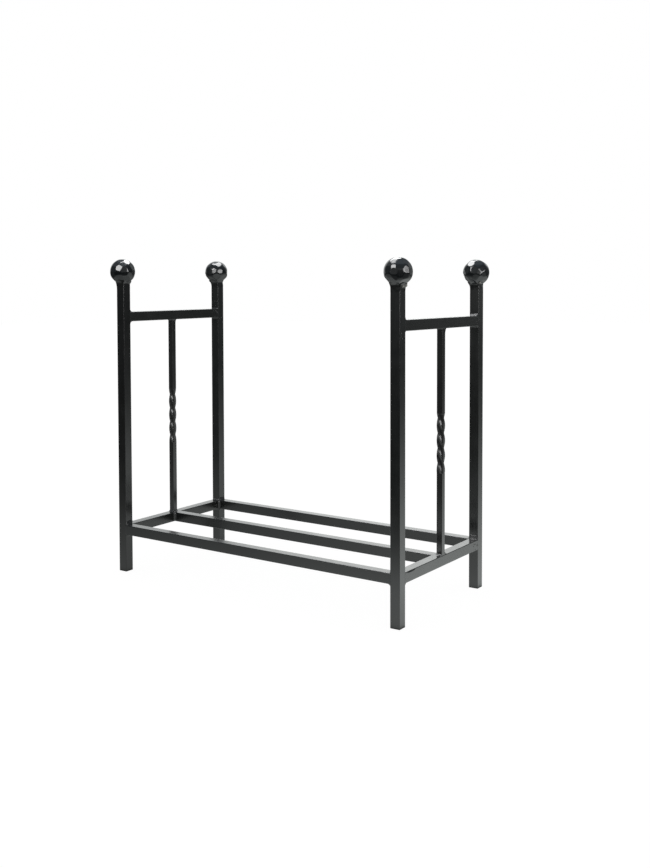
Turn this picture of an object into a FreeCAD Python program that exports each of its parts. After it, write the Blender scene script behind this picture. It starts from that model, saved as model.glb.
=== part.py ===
# Log holder: two welded end frames of square bar joined by three long rails.
# Millimetres, +Z up. The origin is on the floor, in the middle of the frame.
# X runs along the long rails, -Y is the front, the end frames stand at +X and -X.
import FreeCAD, Part
import Sketcher
import math
import os

V = FreeCAD.Vector
doc = FreeCAD.newDocument("LogHolder")

# ---------------------------------------------------------------- dimensions
sheet = doc.addObject("Spreadsheet::Sheet", "Dims")
DIMENSIONS = [
    ("length_x", 554.0, "length over the outside of the posts"),
    ("depth_y", 260.0, "depth over the outside of the posts"),
    ("bar_side", 16.0, "side of the square bar of posts and rails"),
    ("bar_round", 0.9, "corner radius of that bar"),
    ("foot_round", 0.8, "rounding round the foot of each post"),
    ("post_top", 481.0, "height of the sawn top of each post"),
    ("dress_from", 470.0, "height where the post's corners begin to be ground back"),
    ("dress_round", 1.0, "corner radius of the post at its top"),
    ("rail_bottom", 63.3, "underside of the lower rails"),
    ("top_rail_bottom", 423.4, "underside of the top rails"),
    ("rise_front_left", 1.2, "left top rail's front end above that height"),
    ("rise_back_left", -0.5, "left top rail's back end"),
    ("rise_front_right", 0.7, "right top rail's front end"),
    ("rise_back_right", -1.75, "right top rail's back end"),
    ("twist_side", 9.5, "side of the twisted square bar"),
    ("twist_round", 0.8, "corner radius of the twisted bar"),
    ("twist_inset", 0.5, "twisted bar's outer face behind the rails' outer face"),
    ("twist_from", 204.0, "height where the twist begins"),
    ("twist_len_left", 97.0, "length of the full turn, left bar"),
    ("twist_len_right", 91.0, "length of the full turn, right bar"),
    ("ball_radius", 21.0, "hammered ball, over its high spots"),
    ("ball_z", 507.0, "height of the ball's centre, before each one's own offset"),
    ("set_x_front_left", -0.9, "front left ball off that height and its post's middle: x"),
    ("set_y_front_left", -0.6, "the same, y"),
    ("set_z_front_left", 1.9, "the same, z"),
    ("set_x_front_right", 0.3, "front right ball: x"),
    ("set_y_front_right", 0.2, "front right ball: y"),
    ("set_z_front_right", 1.2, "front right ball: z"),
    ("set_x_back_left", -1.2, "back left ball: x"),
    ("set_y_back_left", -0.9, "back left ball: y"),
    ("set_z_back_left", -0.1, "back left ball: z"),
    ("set_x_back_right", -0.6, "back right ball: x"),
    ("set_y_back_right", -0.4, "back right ball: y"),
    ("set_z_back_right", -0.5, "back right ball: z"),
    ("flat_depth", 0.6, "depth of a hammer flat"),
    ("flat_box", 16.0, "size of the block that cuts a flat"),
    ("neck_mid", 486.0, "height halfway up the neck weld"),
    ("neck_mid_side", 19.6, "width of the neck weld halfway up"),
    ("neck_mid_round", 6.6, "corner radius of the neck weld halfway up"),
    ("neck_top", 491.0, "height where the neck weld's section is widest"),
    ("neck_side", 26.0, "width of the neck weld at that height"),
    ("neck_round", 12.0, "corner radius of the neck weld at that height"),
    ("leg_rail", 4.5, "leg of the welds on the lower rails"),
    ("leg_top", 3.5, "leg of the welds on the top rails"),
    ("leg_tee", 3.5, "leg of the welds on the centre rail"),
    ("leg_bar", 2.5, "leg of the welds on the twisted bars"),
]
for i, (alias, value, note) in enumerate(DIMENSIONS, start=1):
    sheet.set("A%d" % i, note)
    sheet.set("B%d" % i, str(value))
    sheet.setAlias("B%d" % i, alias)
doc.recompute()

# Distances that follow from the sheet, as expressions.
POST_X = "((Dims.length_x - Dims.bar_side) / 2)"
POST_Y = "((Dims.depth_y - Dims.bar_side) / 2)"
CLEAR_X = "(Dims.length_x - 2 * Dims.bar_side)"
CLEAR_Y = "(Dims.depth_y - 2 * Dims.bar_side)"
HALF = "(Dims.bar_side / 2)"
RAIL_MID = "(Dims.rail_bottom + Dims.bar_side / 2)"
RAIL_TOP = "(Dims.rail_bottom + Dims.bar_side)"
TOP_MID = "(Dims.top_rail_bottom + Dims.bar_side / 2)"
TOP_TOP = "(Dims.top_rail_bottom + Dims.bar_side)"
FLAT = "(Dims.bar_side - 2 * Dims.bar_round)"
BAR_X = "(Dims.length_x / 2 - Dims.twist_inset - Dims.twist_side / 2)"

SIDES = {"left": -1, "right": 1}
CORNERS = {
    "front_left": (-1, -1),
    "front_right": (1, -1),
    "back_left": (-1, 1),
    "back_right": (1, 1),
}
nodes = []


def times(sign, expression):
    return "%d * %s" % (sign, expression)


def mid_rise(side):
    """The top rail above its level height in the middle."""
    return "(Dims.rise_front_%s + Dims.rise_back_%s) / 2" % (side, side)


def plane(body, role):
    for feature in body.Origin.OriginFeatures:
        if feature.Role == role:
            return feature
    raise RuntimeError("no " + role)


def new_body(name, x="0", y="0", z="0"):
    body = doc.addObject("PartDesign::Body", name)
    body.Label = name
    for axis, expression in zip("xyz", (x, y, z)):
        body.setExpression("Placement.Base." + axis, expression)
    nodes.append(body)
    return body


def new_sketch(body, name, role, lift=None):
    sketch = body.newObject("Sketcher::SketchObject", name)
    sketch.AttachmentSupport = (plane(body, role), [""])
    sketch.MapMode = "FlatFace"
    if lift:
        sketch.setExpression("AttachmentOffset.Base.z", lift)
    return sketch


def rounded_square(sketch, side, radius):
    """A square with rounded corners, centred on the sketch's origin."""
    a, r = 8.0, 1.0
    k = a - r
    lines = [
        ((-k, -a), (k, -a)),
        ((a, -k), (a, k)),
        ((k, a), (-k, a)),
        ((-a, k), (-a, -k)),
    ]
    for start, end in lines:
        sketch.addGeometry(Part.LineSegment(V(*start, 0), V(*end, 0)), False)
    for x, y, turn in ((k, -k, -90), (k, k, 0), (-k, k, 90), (-k, -k, 180)):
        circle = Part.Circle(V(x, y, 0), V(0, 0, 1), r)
        arc = Part.ArcOfCircle(circle, math.radians(turn), math.radians(turn + 90))
        sketch.addGeometry(arc, False)
    C = Sketcher.Constraint
    order = [0, 4, 1, 5, 2, 6, 3, 7]
    for this, following in zip(order, order[1:] + order[:1]):
        sketch.addConstraint(C("Tangent", this, 2, following, 1))
    sketch.addConstraint(C("Horizontal", 0))
    sketch.addConstraint(C("Vertical", 1))
    sketch.addConstraint(C("Horizontal", 2))
    sketch.addConstraint(C("Vertical", 3))
    for first, second in ((4, 5), (5, 6), (6, 7)):
        sketch.addConstraint(C("Equal", first, second))
    sketch.addConstraint(C("Symmetric", 0, 1, 2, 1, -1, 1))
    named = (
        ("corner", C("Radius", 4, r), radius),
        ("width", C("DistanceX", 3, 1, 1, 1, 2 * a), side),
        ("height", C("DistanceY", 0, 1, 2, 1, 2 * a), side),
    )
    for name, constraint, expression in named:
        index = sketch.addConstraint(constraint)
        sketch.renameConstraint(index, name)
    for name, constraint, expression in named:
        sketch.setExpression("Constraints." + name, expression)


def pad(body, name, sketch, length, middle=False):
    feature = body.newObject("PartDesign::Pad", name)
    feature.Profile = sketch
    if middle:
        feature.Midplane = True
    feature.setExpression("Length", length)
    return feature


# -------------------------------------------------------------------- posts
# One length of square bar from the floor to under the ball, with the edges of
# the foot rounded over and the corners ground back where the ball is welded on.
for corner, (sx, sy) in CORNERS.items():
    body = new_body("post_" + corner, times(sx, POST_X), times(sy, POST_Y))
    section = new_sketch(body, "Section", "XY_Plane")
    rounded_square(section, "Dims.bar_side", "Dims.bar_round")
    pad(body, "Shaft", section, "Dims.dress_from")
    whole = new_sketch(body, "WholeSection", "XY_Plane", "Dims.dress_from")
    rounded_square(whole, "Dims.bar_side", "Dims.bar_round")
    ground = new_sketch(body, "GroundSection", "XY_Plane", "Dims.post_top")
    rounded_square(ground, "Dims.bar_side", "Dims.dress_round")
    doc.recompute()
    dressed = body.newObject("PartDesign::AdditiveLoft", "DressedTop")
    dressed.Profile = whole
    dressed.Sections = [ground]
    doc.recompute()
    foot = [
        "Edge%d" % i
        for i, edge in enumerate(dressed.Shape.Edges, start=1)
        if edge.BoundBox.ZMax < 0.001
    ]
    rounding = body.newObject("PartDesign::Fillet", "FootRounding")
    rounding.Base = (dressed, foot)
    rounding.setExpression("Radius", "Dims.foot_round")

# -------------------------------------------------------------------- rails
# The long rails lie along X: front and back between posts, the centre one
# between the two end rails. The end rails and top rails lie along Y. The top
# rails, welded in by eye, fall a little towards the back; their sawn ends stay
# flat on the posts.
for name, sy in (("front_rail", -1), ("centre_rail", 0), ("back_rail", 1)):
    body = new_body(name, "0", times(sy, POST_Y), RAIL_MID)
    section = new_sketch(body, "Section", "YZ_Plane")
    rounded_square(section, "Dims.bar_side", "Dims.bar_round")
    pad(body, "Bar", section, CLEAR_X, middle=True)

for side, sx in SIDES.items():
    top_mid = "%s + %s" % (TOP_MID, mid_rise(side))
    for name, height in (("end_rail_", RAIL_MID), ("top_rail_", top_mid)):
        body = new_body(name + side, times(sx, POST_X), "0", height)
        section = new_sketch(body, "Section", "XZ_Plane")
        rounded_square(section, "Dims.bar_side", "Dims.bar_round")
        bar = pad(body, "Bar", section, CLEAR_Y, middle=True)
        if name == "top_rail_":
            bar.UseCustomVector = True
            bar.AlongSketchNormal = True
            bar.Direction = V(0, 1, 0)
            bar.setExpression("Direction.z", "(Dims.rise_back_%s - Dims.rise_front_%s) / %s" % (side, side, CLEAR_Y))

# ------------------------------------------------------------- twisted bars
# Straight, then one full left-hand turn, then straight. The square is carried
# up a straight line and turned by a helix round it.
for side, sx in SIDES.items():
    turn = "Dims.twist_len_" + side
    below = "(Dims.twist_from - %s)" % RAIL_TOP
    whole = "(Dims.top_rail_bottom + %s - %s)" % (mid_rise(side), RAIL_TOP)
    body = new_body("twisted_bar_" + side, times(sx, BAR_X), "0", RAIL_TOP)
    lower = new_sketch(body, "LowerSection", "XY_Plane")
    rounded_square(lower, "Dims.twist_side", "Dims.twist_round")
    pad(body, "LowerStraight", lower, below)

    path = new_sketch(body, "TwistLine", "XZ_Plane")
    path.addGeometry(Part.LineSegment(V(0, 125, 0), V(0, 216, 0)), False)
    path.addConstraint(Sketcher.Constraint("PointOnObject", 0, 1, -2))
    path.addConstraint(Sketcher.Constraint("PointOnObject", 0, 2, -2))
    for name, constraint, expression in (
        ("start", Sketcher.Constraint("DistanceY", -1, 1, 0, 1, 125.0), below),
        ("turn", Sketcher.Constraint("DistanceY", 0, 1, 0, 2, 91.0), turn),
    ):
        path.renameConstraint(path.addConstraint(constraint), name)
        path.setExpression("Constraints." + name, expression)

    guide = doc.addObject("Part::Helix", "TwistGuide_" + side)
    guide.LocalCoord = "Left-handed"
    guide.Radius = 20.0
    guide.setExpression("Pitch", turn)
    guide.setExpression("Height", turn)
    guide.setExpression("Placement.Base.z", below)

    middle = new_sketch(body, "TwistSection", "XY_Plane", below)
    rounded_square(middle, "Dims.twist_side", "Dims.twist_round")
    doc.recompute()
    twist = body.newObject("PartDesign::AdditivePipe", "Twist")
    twist.Profile = middle
    twist.Spine = path
    twist.Mode = "Auxiliary"
    twist.AuxiliarySpine = (guide, ["Edge1"])
    twist.AuxiliaryCurvilinear = True
    doc.recompute()

    upper = new_sketch(body, "UpperSection", "XY_Plane", below + " + " + turn)
    rounded_square(upper, "Dims.twist_side", "Dims.twist_round")
    pad(body, "UpperStraight", upper, "%s - %s - %s" % (whole, below, turn))

# ------------------------------------------------------------------ finials
# A ball with hammered flats: one on the crown and four rings of them, the
# rings staggered. Each post's ball is turned a different way and, welded on by
# eye, sits a little off the middle of its post.
RINGS = (("Crown", 90, 1, 0), ("Upper", 58, 6, 12), ("Shoulder", 29, 10, 0),
         ("Belly", 0, 12, 9), ("Lower", -28, 10, 20))
TURNED = {"front_left": 0, "front_right": 17, "back_left": 41, "back_right": 64}
for corner, (sx, sy) in CORNERS.items():
    body = new_body(
        "finial_" + corner,
        times(sx, POST_X) + " + Dims.set_x_" + corner,
        times(sy, POST_Y) + " + Dims.set_y_" + corner,
        "Dims.ball_z + Dims.set_z_" + corner,
    )
    body.setExpression("Placement.Rotation.Axis.z", "1")
    body.setExpression("Placement.Rotation.Angle", "%d" % TURNED[corner])
    ball = body.newObject("PartDesign::AdditiveSphere", "Ball")
    ball.setExpression("Radius", "Dims.ball_radius")
    doc.recompute()
    for ring, latitude, count, phase in RINGS:
        flat = body.newObject("PartDesign::SubtractiveBox", ring + "Flat")
        for size in ("Length", "Width", "Height"):
            flat.setExpression(size, "Dims.flat_box")
        # The block's lower face is square to the radius at this latitude.
        tilt = FreeCAD.Rotation(V(0, 1, 0), 90 - latitude)
        turn = FreeCAD.Rotation(V(0, 0, 1), phase).multiply(tilt)
        out = turn.multVec(V(0, 0, 1))
        half = turn.multVec(V(-0.5, -0.5, 0))
        flat.AttachmentOffset = FreeCAD.Placement(V(0, 0, 0), turn)
        for axis, o, k in zip("xyz", out, half):
            flat.setExpression(
                "AttachmentOffset.Base." + axis,
                "(Dims.ball_radius - Dims.flat_depth) * %.9f + Dims.flat_box * %.9f" % (o, k),
            )
        flat.AttachmentSupport = (plane(body, "XY_Plane"), [""])
        flat.MapMode = "FlatFace"
        doc.recompute()
        if count > 1:
            pattern = body.newObject("PartDesign::PolarPattern", ring + "Ring")
            pattern.Originals = [flat]
            pattern.Axis = (plane(body, "Z_Axis"), [""])
            pattern.Angle = 360
            pattern.Occurrences = count
            body.Tip = pattern
            doc.recompute()

# --------------------------------------------------------------- neck welds
# Weld metal between the sawn top of the post and the ball, square below and
# almost round above, hollowed where the ball sits in it. It leans with the ball.
for corner, (sx, sy) in CORNERS.items():
    body = new_body("neck_weld_" + corner, times(sx, POST_X), times(sy, POST_Y), "Dims.post_top")
    low = new_sketch(body, "PostEnd", "XY_Plane")
    rounded_square(low, "Dims.bar_side", "Dims.dress_round")
    lean = {axis: "Dims.set_%s_%s" % (axis, corner) for axis in "xyz"}
    mid = new_sketch(body, "Halfway", "XY_Plane", "Dims.neck_mid + %s / 2 - Dims.post_top" % lean["z"])
    rounded_square(mid, "Dims.neck_mid_side", "Dims.neck_mid_round")
    high = new_sketch(body, "BallEnd", "XY_Plane", "Dims.neck_top + %s - Dims.post_top" % lean["z"])
    rounded_square(high, "Dims.neck_side", "Dims.neck_round")
    for axis in "xy":
        mid.setExpression("AttachmentOffset.Base." + axis, lean[axis] + " / 2")
        high.setExpression("AttachmentOffset.Base." + axis, lean[axis])
    doc.recompute()
    flare = body.newObject("PartDesign::AdditiveLoft", "Flare")
    flare.Profile = low
    flare.Sections = [mid, high]
    doc.recompute()
    seat = body.newObject("PartDesign::SubtractiveSphere", "BallSeat")
    seat.setExpression("Radius", "Dims.ball_radius")
    seat.AttachmentSupport = (plane(body, "XY_Plane"), [""])
    seat.MapMode = "FlatFace"
    for axis in "xy":
        seat.setExpression("AttachmentOffset.Base." + axis, lean[axis])
    seat.setExpression("AttachmentOffset.Base.z", "Dims.ball_z + %s - Dims.post_top" % lean["z"])
    doc.recompute()


# -------------------------------------------------------------- fillet welds
# Each bead is a three-sided prism in an inner corner: one leg along u, the
# other along v, its length along u x v, centred on the given point.
def bead(name, point, u, v, leg, length):
    w = u.cross(v)
    wedge = doc.addObject("Part::Wedge", name)
    wedge.Xmin = wedge.Ymin = wedge.Zmin = wedge.X2min = wedge.Z2min = 0
    wedge.X2max = 0
    wedge.setExpression("Xmax", leg)
    wedge.setExpression("Ymax", leg)
    wedge.setExpression("Zmax", length)
    wedge.setExpression("Z2max", length)
    matrix = FreeCAD.Matrix(
        u.x, v.x, w.x, 0, u.y, v.y, w.y, 0, u.z, v.z, w.z, 0, 0, 0, 0, 1
    )
    wedge.Placement = FreeCAD.Placement(matrix)
    for axis, centre, along in zip("xyz", point, w):
        wedge.setExpression(
            "Placement.Base." + axis, "%s - (%d) * %s / 2" % (centre, round(along), length)
        )
    return wedge


def weld_node(name, beads):
    group = doc.addObject("Part::Compound", name)
    group.Label = name
    group.Links = beads
    nodes.append(group)


X, Y, Z = V(1, 0, 0), V(0, 1, 0), V(0, 0, 1)

for corner, (sx, sy) in CORNERS.items():
    ix, iy = X * -sx, Y * -sy  # towards the inside of the frame
    post_x, post_y = times(sx, POST_X), times(sy, POST_Y)
    face_x = "%s - (%d) * %s" % (post_x, sx, HALF)  # post's face towards the other end
    face_y = "%s - (%d) * %s" % (post_y, sy, HALF)  # post's face towards the middle

    # top rail on the post's inner face: a bead above and one below
    over = "%s + Dims.rise_%s" % (TOP_TOP, corner)
    under = "Dims.top_rail_bottom + Dims.rise_%s" % corner
    weld_node(
        "top_weld_" + corner,
        [
            bead("TopOver_" + corner, (post_x, face_y, over), iy, Z, "Dims.leg_top", FLAT),
            bead("TopUnder_" + corner, (post_x, face_y, under), iy, Z * -1, "Dims.leg_top", FLAT),
        ],
    )
    # lower corner: a long rail and an end rail on one post
    weld_node(
        "corner_weld_" + corner,
        [
            bead("LongOver_" + corner, (face_x, post_y, RAIL_TOP), ix, Z, "Dims.leg_rail", FLAT),
            bead("LongUnder_" + corner, (face_x, post_y, "Dims.rail_bottom"), ix, Z * -1, "Dims.leg_rail", FLAT),
            bead("EndOver_" + corner, (post_x, face_y, RAIL_TOP), iy, Z, "Dims.leg_rail", FLAT),
            bead("EndUnder_" + corner, (post_x, face_y, "Dims.rail_bottom"), iy, Z * -1, "Dims.leg_rail", FLAT),
            bead("Inside_" + corner, (face_x, face_y, RAIL_MID), ix, iy, "Dims.leg_rail", FLAT),
        ],
    )

for side, sx in SIDES.items():
    ix = X * -sx
    inner_x = "%s - (%d) * %s" % (times(sx, POST_X), sx, HALF)
    # centre rail on the end rail's inner face: a bead on each side
    weld_node(
        "centre_weld_" + side,
        [
            bead("TeeFront_" + side, (inner_x, "-1 * " + HALF, RAIL_MID), ix, Y * -1, "Dims.leg_tee", FLAT),
            bead("TeeBack_" + side, (inner_x, HALF, RAIL_MID), ix, Y, "Dims.leg_tee", FLAT),
        ],
    )
    # twisted bar between the rails: beads in front, behind and inside
    bar_x = times(sx, BAR_X)
    bar_half = "Dims.twist_side / 2"
    bar_inner = "%s - (%d) * %s" % (bar_x, sx, bar_half)
    bar_flat = "(Dims.twist_side - 2 * Dims.twist_round)"
    under = "Dims.top_rail_bottom + " + mid_rise(side)
    for end, height, up in (("low", RAIL_TOP, Z), ("high", under, Z * -1)):
        weld_node(
            "bar_weld_%s_%s" % (end, side),
            [
                bead("BarFront_%s_%s" % (end, side), (bar_x, "-1 * " + bar_half, height), Y * -1, up, "Dims.leg_bar", bar_flat),
                bead("BarBack_%s_%s" % (end, side), (bar_x, bar_half, height), Y, up, "Dims.leg_bar", bar_flat),
                bead("BarInside_%s_%s" % (end, side), (bar_inner, "0", height), ix, up, "Dims.leg_bar", bar_flat),
            ],
        )

doc.recompute()

# ------------------------------------------------------------ check and write
for obj in doc.Objects:
    if "Invalid" in obj.State or "Error" in obj.State:
        raise RuntimeError("%s failed: %s" % (obj.Name, obj.State))
for node in nodes:
    if node.Shape.isNull() or not node.Shape.isValid() or not node.Shape.Solids:
        raise RuntimeError("%s has no valid solid" % node.Label)

os.makedirs("parts", exist_ok=True)
for node in nodes:
    node.Shape.exportStep("parts/%s.step" % node.Label)
    box = node.Shape.BoundBox
    print("%-24s solids %d  volume %9.1f  x %.2f %.2f  y %.2f %.2f  z %.2f %.2f" % (
        node.Label, len(node.Shape.Solids), node.Shape.Volume,
        box.XMin, box.XMax, box.YMin, box.YMax, box.ZMin, box.ZMax))
print(len(nodes), "nodes")
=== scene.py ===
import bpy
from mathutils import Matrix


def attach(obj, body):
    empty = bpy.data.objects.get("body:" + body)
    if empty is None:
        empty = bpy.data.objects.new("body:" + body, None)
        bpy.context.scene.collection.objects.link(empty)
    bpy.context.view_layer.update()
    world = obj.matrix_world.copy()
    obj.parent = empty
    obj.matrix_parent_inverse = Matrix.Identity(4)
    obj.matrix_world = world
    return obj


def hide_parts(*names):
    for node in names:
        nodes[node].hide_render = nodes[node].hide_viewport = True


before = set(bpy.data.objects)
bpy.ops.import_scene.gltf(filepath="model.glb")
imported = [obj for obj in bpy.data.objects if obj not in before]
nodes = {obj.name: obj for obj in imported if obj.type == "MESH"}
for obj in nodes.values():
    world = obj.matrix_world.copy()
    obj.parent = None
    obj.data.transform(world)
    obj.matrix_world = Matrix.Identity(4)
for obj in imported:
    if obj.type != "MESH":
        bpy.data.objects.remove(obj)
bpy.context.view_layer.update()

import math
import random

import bmesh
import bpy
import numpy as np
from mathutils import Quaternion, Vector

scene = bpy.context.scene
MM = 0.001

# ------------------------------------------------------------------ the object
# Log holder of black-painted square bar. Sizes in millimetres, as built.
POST_X, POST_Y = 269.0, 122.0  # post centres
HALF = 8.0  # half of the bar's side
RAIL_LOW, RAIL_HIGH = 63.3, 79.3  # lower rails, underside and top
TOP_LOW, TOP_HIGH = 423.4, 439.4  # top rails, underside and top
BAR_X, BAR_HALF = 271.75, 4.75  # twisted bars
BALL_Z = 507.0
CORNERS = {
    "front_left": (-1, -1),
    "front_right": (1, -1),
    "back_left": (-1, 1),
    "back_right": (1, 1),
}
SIDES = {"left": -1, "right": 1}
# The top rails' ends above or below that height; they fall towards the back.
RISE = {"front_left": 1.2, "front_right": 0.7, "back_left": -0.5, "back_right": -1.75}

# ---------------------------------------------------------------------- camera
AZIMUTH, ELEVATION, ROLL = math.radians(34.619), math.radians(2.522), math.radians(-0.128)
EYE = Vector((1.06040, -1.44922, 0.51097))
RIGHT = Vector((math.cos(AZIMUTH), math.sin(AZIMUTH), 0))
AHEAD = Vector(
    (
        -math.sin(AZIMUTH) * math.cos(ELEVATION),
        math.cos(AZIMUTH) * math.cos(ELEVATION),
        -math.sin(ELEVATION),
    )
)
BEHIND = Vector((AHEAD.x, AHEAD.y, 0)).normalized()
lens = bpy.data.cameras.new("camera")
lens.sensor_fit = "AUTO"
lens.sensor_width = 36.0
lens.lens = 45.394
lens.shift_x = 0.0
lens.shift_y = -0.1336
lens.clip_start, lens.clip_end = 0.05, 60.0
camera = bpy.data.objects.new("camera", lens)
camera.location = EYE
camera.rotation_mode = "QUATERNION"
camera.rotation_quaternion = AHEAD.to_track_quat("-Z", "Y") @ Quaternion((0, 0, 1), ROLL)
scene.collection.objects.link(camera)
scene.camera = camera

scene.view_settings.view_transform = "Standard"
scene.view_settings.look = "None"
scene.view_settings.exposure = 0.0
scene.view_settings.gamma = 1.0


# ------------------------------------------------------------------- materials
def add(tree, kind, at=(0, 0), **settings):
    made = tree.nodes.new(kind)
    made.location = at
    for key, value in settings.items():
        setattr(made, key, value)
    return made


def paint(name, grain, rough, peel, dark, light, seed):
    """Black satin paint over steel. grain stretches the fine lines left by the
    rolling of the bar: small along the bar, large across it."""
    material = bpy.data.materials.new(name)
    material.use_nodes = True
    tree = material.node_tree
    tree.nodes.clear()
    link = tree.links.new
    out = add(tree, "ShaderNodeOutputMaterial", (900, 0))
    shader = add(tree, "ShaderNodeBsdfPrincipled", (600, 0))
    shader.inputs["IOR"].default_value = 1.5
    shader.inputs["Metallic"].default_value = 0.0
    link(shader.outputs["BSDF"], out.inputs["Surface"])

    where = add(tree, "ShaderNodeTexCoord", (-1200, 0))
    shift = add(tree, "ShaderNodeMapping", (-1000, 300))
    shift.inputs["Location"].default_value = (seed * 0.37, seed * 0.21, seed * 0.13)
    link(where.outputs["Object"], shift.inputs["Vector"])
    along = add(tree, "ShaderNodeMapping", (-1000, -200))
    along.inputs["Scale"].default_value = grain
    link(shift.outputs["Vector"], along.inputs["Vector"])

    # broad clouds: how thick the sprayed coat lies
    cloud = add(tree, "ShaderNodeTexNoise", (-750, 300))
    cloud.inputs["Scale"].default_value = 34.0
    cloud.inputs["Detail"].default_value = 3.0
    cloud.inputs["Roughness"].default_value = 0.55
    link(shift.outputs["Vector"], cloud.inputs["Vector"])
    # lines along the bar
    lines = add(tree, "ShaderNodeTexNoise", (-750, -200))
    lines.inputs["Scale"].default_value = 1.0
    lines.inputs["Detail"].default_value = 4.0
    lines.inputs["Roughness"].default_value = 0.6
    link(along.outputs["Vector"], lines.inputs["Vector"])
    # orange peel of the dried coat
    skin_noise = add(tree, "ShaderNodeTexNoise", (-750, -500))
    skin_noise.inputs["Scale"].default_value = 620.0
    skin_noise.inputs["Detail"].default_value = 2.0
    skin_noise.inputs["Roughness"].default_value = 0.5
    link(shift.outputs["Vector"], skin_noise.inputs["Vector"])

    both = add(tree, "ShaderNodeMath", (-500, 150), operation="MULTIPLY_ADD")
    both.inputs[1].default_value = 0.45
    link(lines.outputs["Fac"], both.inputs[0])
    scaled = add(tree, "ShaderNodeMath", (-620, 320), operation="MULTIPLY")
    scaled.inputs[1].default_value = 0.55
    link(cloud.outputs["Fac"], scaled.inputs[0])
    link(scaled.outputs["Value"], both.inputs[2])

    tone = add(tree, "ShaderNodeValToRGB", (-250, 250))
    tone.color_ramp.elements[0].position = 0.34
    tone.color_ramp.elements[0].color = (*dark, 1)
    tone.color_ramp.elements[1].position = 0.68
    tone.color_ramp.elements[1].color = (*light, 1)
    link(both.outputs["Value"], tone.inputs["Fac"])
    link(tone.outputs["Color"], shader.inputs["Base Color"])

    gloss = add(tree, "ShaderNodeMapRange", (-250, -50))
    gloss.inputs["From Min"].default_value = 0.32
    gloss.inputs["From Max"].default_value = 0.68
    gloss.inputs["To Min"].default_value = rough[0]
    gloss.inputs["To Max"].default_value = rough[1]
    link(both.outputs["Value"], gloss.inputs["Value"])
    link(gloss.outputs["Result"], shader.inputs["Roughness"])

    relief = add(tree, "ShaderNodeMath", (-500, -400), operation="MULTIPLY_ADD")
    relief.inputs[1].default_value = 0.6
    link(lines.outputs["Fac"], relief.inputs[0])
    link(skin_noise.outputs["Fac"], relief.inputs[2])
    bump = add(tree, "ShaderNodeBump", (-250, -350))
    bump.inputs["Strength"].default_value = peel[0]
    bump.inputs["Distance"].default_value = peel[1]
    link(relief.outputs["Value"], bump.inputs["Height"])
    link(bump.outputs["Normal"], shader.inputs["Normal"])
    return material


DARK, LIGHT = (0.0058, 0.0066, 0.0066), (0.0092, 0.0103, 0.0102)
FINE, LONG = 900.0, 22.0
bar_x = paint("bar_paint_x", (LONG, FINE, FINE), (0.20, 0.30), (0.5, 0.6e-5), DARK, LIGHT, 1)
bar_y = paint(
    "bar_paint_y", (FINE, LONG, FINE), (0.21, 0.30), (0.5, 1.0e-5), (0.0060, 0.0066, 0.0060), (0.0094, 0.0103, 0.0094), 2
)
POST_LIT_TONES = {  # one paint set darker or lighter on each post for how light falls on it: painted shade on the front left post, painted light on the back posts
    "front_left": ((0.0041, 0.0042, 0.0041), (0.0073, 0.0074, 0.0073)),
    "front_right": (DARK, LIGHT),
    "back_left": ((0.0092, 0.0104, 0.0101), (0.0126, 0.0142, 0.0138)),
    "back_right": ((0.0080, 0.0090, 0.0086), (0.0114, 0.0127, 0.0122)),
}
bar_z = {
    "post_" + corner: paint("bar_paint_z_" + corner, (FINE, FINE, LONG), (0.17, 0.27), (0.5, 0.7e-5), *lit_tones, 3)
    for corner, lit_tones in POST_LIT_TONES.items()
}
ball_paint = paint(
    "hammered_paint", (260.0, 260.0, 260.0), (0.13, 0.21), (0.5, 1.4e-5), (0.0024, 0.0038, 0.0050), (0.0048, 0.0064, 0.0076), 4
)
# A pale beige-grey paint, far lighter than the black, for the weld lumps under three of the balls.
pale_weld_paint = paint("pale_weld_paint", (700.0, 700.0, 700.0), (0.30, 0.50), (0.8, 4.0e-5), (0.10, 0.10, 0.087), (0.36, 0.35, 0.30), 8)
neck_paint = paint("neck_paint", (300.0, 300.0, 300.0), (0.17, 0.27), (0.6, 2.0e-5), DARK, LIGHT, 7)
weld_paint = paint("weld_paint", (420.0, 420.0, 420.0), (0.28, 0.42), (0.7, 3.0e-5), DARK, LIGHT, 5)
dressed_paint = paint("dressed_weld_paint", (420.0, 420.0, 420.0), (0.24, 0.34), (0.5, 0.8e-5), DARK, LIGHT, 9)
# The twisted bars' paint is set about twice as light as the other bars', the left bar's lighter than the right's:
# painted sheen for the light their twisted faces catch.
twist_sheen_paint = {
    side: paint("twisted_sheen_paint_" + side, (FINE, FINE, LONG), (0.15, 0.23), (0.5, 1.0e-5), low, high, 6)
    for side, low, high in (
        ("left", (0.0140, 0.0146, 0.0143), (0.0182, 0.0188, 0.0184)),
        ("right", (0.0106, 0.0111, 0.0108), (0.0138, 0.0143, 0.0140)),
    )
}


def coat(obj, material):
    if not obj.material_slots:
        obj.data.materials.append(material)
    for place in obj.material_slots:
        place.material = material


for name, obj in nodes.items():
    if name.startswith("post_"):
        coat(obj, bar_z[name])
    elif name.startswith("twisted_"):
        coat(obj, twist_sheen_paint["left" if name.endswith("left") else "right"])
    elif name.startswith(("front_rail", "centre_rail", "back_rail")):
        coat(obj, bar_x)
    elif name.startswith(("end_rail", "top_rail")):
        coat(obj, bar_y)
    elif name.startswith("finial"):
        coat(obj, ball_paint)
    else:
        coat(obj, weld_paint)


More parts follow.
